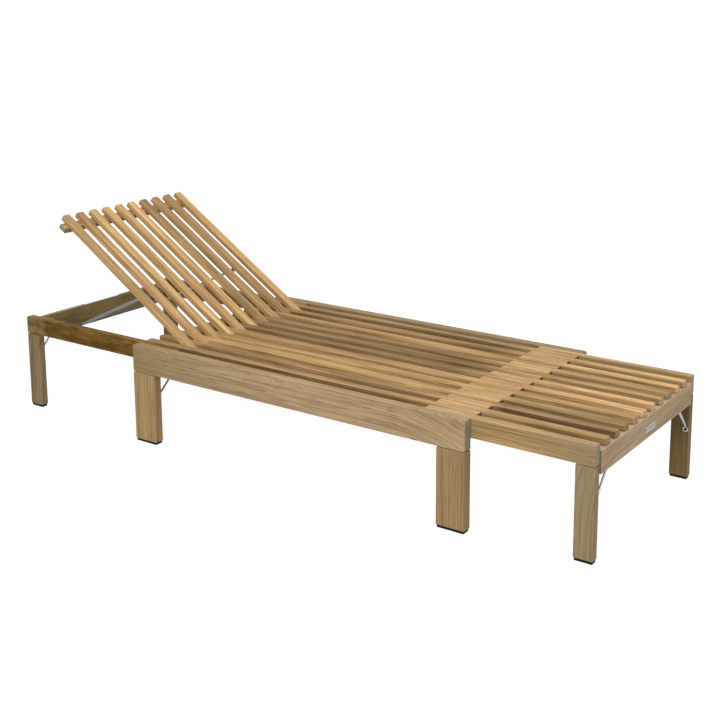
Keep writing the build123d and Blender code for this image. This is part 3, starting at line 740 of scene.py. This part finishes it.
# Painted shade: the bar and brackets under the backrest are given a darker steel.
bar_steel_painted_shade = steel("dark stainless bar", "#5a5c5e", 0.32, 0.46)
screw_steel = steel("dark screw steel", "#3b3431", 0.35, 0.5)
rim_steel = steel("polished stainless rim", "#c3c7c9", 0.2, 0.3)
field_steel = steel("brushed stainless field", "#868b8e", 0.3, 0.45, BRUSHED_LINES)
FITTINGS = (
    (rod_steel, ("main_braces", "head_braces", "foot_braces")),
    (stay_steel, ("stay_leg_near", "stay_leg_far", "hinge_tube", "hinge_pins")),
    (bar_steel_painted_shade, ("stay_bar", "stay_brackets", "stay_pins")),
    (screw_steel, ("main_brace_screws", "head_brace_screws", "foot_brace_screws")),
)
for finish, fitted in FITTINGS:
    for node in fitted:
        dress(node, finish)
print("groups of steel fittings:", sum(len(fitted) for finish, fitted in FITTINGS))

# %% [markdown]
# The plate is a pressing: a flat field inside a raised rim, with rounded corners. It could be cut from a
# block, but a press works from a sheet, and so does this: an outline is drawn, made as thick as the plate,
# and then its front face is drawn in twice, the second time a little deeper.

# %% The plate
PLATE_CORNER = 0.004
PLATE_RIM = 0.0014
PLATE_SLOPE = 0.0004
PLATE_FIELD = 0.0006
CORNER_STEPS = 8

plate_low, plate_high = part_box("blank_badge")
plate_outline = []
for y, z, start in ((plate_high.y, plate_high.z, 0), (plate_low.y, plate_high.z, 90),
                    (plate_low.y, plate_low.z, 180), (plate_high.y, plate_low.z, 270)):
    for step in range(CORNER_STEPS + 1):
        turn = math.radians(start + 90 * step / CORNER_STEPS)
        inward_y = PLATE_CORNER if y == plate_low.y else -PLATE_CORNER
        inward_z = PLATE_CORNER if z == plate_low.z else -PLATE_CORNER
        plate_outline.append((y + inward_y + PLATE_CORNER * math.cos(turn),
                              z + inward_z + PLATE_CORNER * math.sin(turn)))
shape = bmesh.new()
back = shape.faces.new([shape.verts.new((plate_low.x, y, z)) for y, z in plate_outline])
lifted = bmesh.ops.extrude_face_region(shape, geom=[back], use_keep_orig=True)["geom"]
front_verts = [item for item in lifted if isinstance(item, bmesh.types.BMVert)]
bmesh.ops.translate(shape, verts=front_verts, vec=(plate_high.x - plate_low.x, 0, 0))
front = next(item for item in lifted if isinstance(item, bmesh.types.BMFace))
bmesh.ops.recalc_face_normals(shape, faces=shape.faces)
bmesh.ops.inset_region(shape, faces=[front], thickness=PLATE_RIM)
bmesh.ops.inset_region(shape, faces=[front], thickness=PLATE_SLOPE, depth=-PLATE_FIELD)
front.material_index = 1
plate_mesh = bpy.data.meshes.new("plain_plate")
shape.to_mesh(plate_mesh)
shape.free()
plate_mesh.materials.append(rim_steel)
plate_mesh.materials.append(field_steel)
plate = bpy.data.objects.new("plain_plate", plate_mesh)
bpy.context.scene.collection.objects.link(plate)
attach(plate, "foot_section")
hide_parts("blank_badge")
print("plate in mm:", [round(side * MILLIMETRES, 1) for side in plate_high - plate_low])

# %% [markdown]
# The glides under the legs are moulded black nylon, which is matt, with the fine even grain of its mould. A
# plain black would swallow their shape, so the grain varies the black a little and gives it some relief.

# %% Glides
MOULD_GRAIN = 0.8
MOULD_DEPTH = 0.0001

nylon, tree, output = new_material("moulded black nylon")
coords = add(tree, "ShaderNodeTexCoord")
mould = add(tree, "ShaderNodeTexNoise", {
    "Vector": coords.outputs["Object"], "Scale": MILLIMETRES / MOULD_GRAIN, "Detail": 2.0,
})
mould_bump = add(tree, "ShaderNodeBump", {"Strength": 0.3, "Distance": MOULD_DEPTH, "Height": mould})
black = add(tree, "ShaderNodeMix", {0: mould, 6: linear("#040404"), 7: linear("#0d0d0c")}, data_type="RGBA")
surface = add(tree, "ShaderNodeBsdfPrincipled", {
    "Base Color": black.outputs[2], "Roughness": 0.75, "Normal": mould_bump, "Specular IOR Level": 0.2,
})
tree.links.new(surface.outputs[0], output.inputs["Surface"])
for node in ("main_glides", "head_glides", "foot_glides"):
    dress(node, nylon)
print("finishes:", len(bpy.data.materials))

# %% [markdown]
# ## A pale studio
# The lounger stands on a white floor under a white sky. More light would make them white too, but it would
# bleach the wood. So they glow only for the rays that come from the camera, or that bounce off steel. All
# other rays meet a grey floor and a duller sky, so that the shade under the bed stays dark.

# %% Floor and sky
FLOOR_HALF = 15.0
FLOOR_GLOW_SHARE = 0.85
FLOOR_GLOW = 1.09
DULL_SKY = 0.62


def seen_white(tree):
    """1 for rays that see the studio itself, and 0 for those that carry its light."""
    path = add(tree, "ShaderNodeLightPath").outputs
    seen = add(tree, "ShaderNodeMath", {0: path["Is Camera Ray"], 1: path["Is Glossy Ray"]},
               operation="MAXIMUM")
    return add(tree, "ShaderNodeMath", {0: seen, 1: path["Is Transmission Ray"]}, operation="MAXIMUM")


floor_mesh = bpy.data.meshes.new("floor")
corners = [(-FLOOR_HALF, -FLOOR_HALF, 0), (FLOOR_HALF, -FLOOR_HALF, 0),
           (FLOOR_HALF, FLOOR_HALF, 0), (-FLOOR_HALF, FLOOR_HALF, 0)]
floor_mesh.from_pydata(corners, [], [(0, 1, 2, 3)])
floor = bpy.data.objects.new("floor", floor_mesh)
bpy.context.scene.collection.objects.link(floor)

white, tree, output = new_material("white studio floor")
seen = seen_white(tree)
glow_share = add(tree, "ShaderNodeMath", {0: seen, 1: FLOOR_GLOW_SHARE}, operation="MULTIPLY")
paint = add(tree, "ShaderNodeMix", {0: seen, 6: linear("#8a8a88"), 7: linear("#e8e8e6")}, data_type="RGBA")
matt = add(tree, "ShaderNodeBsdfDiffuse", {"Color": paint.outputs[2]})
glow = add(tree, "ShaderNodeEmission", {"Color": linear("#ffffff"), "Strength": FLOOR_GLOW})
mixed = add(tree, "ShaderNodeMixShader", {0: glow_share, 1: matt, 2: glow})
tree.links.new(mixed.outputs[0], output.inputs["Surface"])
floor_mesh.materials.append(white)

world = bpy.data.worlds.new("studio")
bpy.context.scene.world = world
world.use_nodes = True
tree = world.node_tree
tree.nodes.clear()
strength = add(tree, "ShaderNodeMapRange", {0: seen_white(tree), 3: DULL_SKY, 4: 1.0})
sky = add(tree, "ShaderNodeBackground", {"Color": linear("#ffffff"), "Strength": strength})
add(tree, "ShaderNodeOutputWorld", {"Surface": sky})
print("floor in m:", 2 * FLOOR_HALF)

# %% [markdown]
# The light is soft, from large square lamps: one on the near side, one above, and a weak one past the foot
# end, so that the long near faces are bright and the faces towards the foot end are a step darker. The far
# lamp only fills the shade on the far side, so it leaves no gloss.

# %% Lamps
LAMP_AIM = Vector((0.0, 0.0, 0.25))
LAMPS = {
    "near_lamp": {"place": (1.2, -3.5, 2.1), "size": 2.0, "watts": 85, "shines": True},
    "top_lamp": {"place": (0.1, 0.3, 4.4), "size": 3.0, "watts": 95, "shines": True},
    "foot_lamp": {"place": (4.4, -0.9, 1.4), "size": 2.0, "watts": 23, "shines": True},
    "far_lamp": {"place": (-1.8, 3.6, 1.0), "size": 2.4, "watts": 42, "shines": False},
}
for name, lamp in LAMPS.items():
    light = bpy.data.lights.new(name, "AREA")
    light.size = lamp["size"]
    light.energy = lamp["watts"]
    holder = bpy.data.objects.new(name, light)
    holder.visible_glossy = lamp["shines"]
    holder.location = lamp["place"]
    holder.rotation_euler = (LAMP_AIM - Vector(lamp["place"])).to_track_quat("-Z", "Y").to_euler()
    bpy.context.scene.collection.objects.link(holder)
bpy.context.scene.view_settings.view_transform = "Standard"
print("lamps:", len(LAMPS), "watts:", sum(lamp["watts"] for lamp in LAMPS.values()))

# %% [markdown]
# ## The camera
# The picture was taken from the near side, a step past the foot end and above the bed, with a lens of about
# 60 mm on a full frame. Upright edges stay nearly upright, which a level camera with a shifted lens gives,
# so the lens here is shifted down by a fifth of the frame and the camera is pitched for the rest.

# %% Camera
FRAME_PIXELS = 720
SENSOR_WIDTH = 36.0
FOCAL_PIXELS = 1219.4
CENTRE_PIXEL = (380.0, 216.0)
CAMERA_PLACE = (2.1047, -2.8148, 1.3645)
CAMERA_YAW = math.radians(124.527)
CAMERA_PITCH = math.radians(-10.925)
CAMERA_ROLL = math.radians(-0.124)

camera_data = bpy.data.cameras.new("camera")
camera = bpy.data.objects.new("camera", camera_data)
bpy.context.scene.collection.objects.link(camera)
bpy.context.scene.camera = camera
camera_data.sensor_width = SENSOR_WIDTH
camera_data.lens = FOCAL_PIXELS / FRAME_PIXELS * SENSOR_WIDTH
camera_data.shift_x = (FRAME_PIXELS / 2 - CENTRE_PIXEL[0]) / FRAME_PIXELS
camera_data.shift_y = (CENTRE_PIXEL[1] - FRAME_PIXELS / 2) / FRAME_PIXELS
forward = Vector((
    math.cos(CAMERA_PITCH) * math.cos(CAMERA_YAW),
    math.cos(CAMERA_PITCH) * math.sin(CAMERA_YAW),
    math.sin(CAMERA_PITCH),
))
level = Vector((math.sin(CAMERA_YAW), -math.cos(CAMERA_YAW), 0))
upward = level.cross(forward)
right = math.cos(CAMERA_ROLL) * level + math.sin(CAMERA_ROLL) * upward
top = math.cos(CAMERA_ROLL) * upward - math.sin(CAMERA_ROLL) * level
facing = Matrix((right, top, -forward)).transposed().to_4x4()
camera.matrix_world = Matrix.Translation(CAMERA_PLACE) @ facing
print("lens in mm:", round(camera_data.lens, 1), "shift:", camera_data.shift_x, camera_data.shift_y)
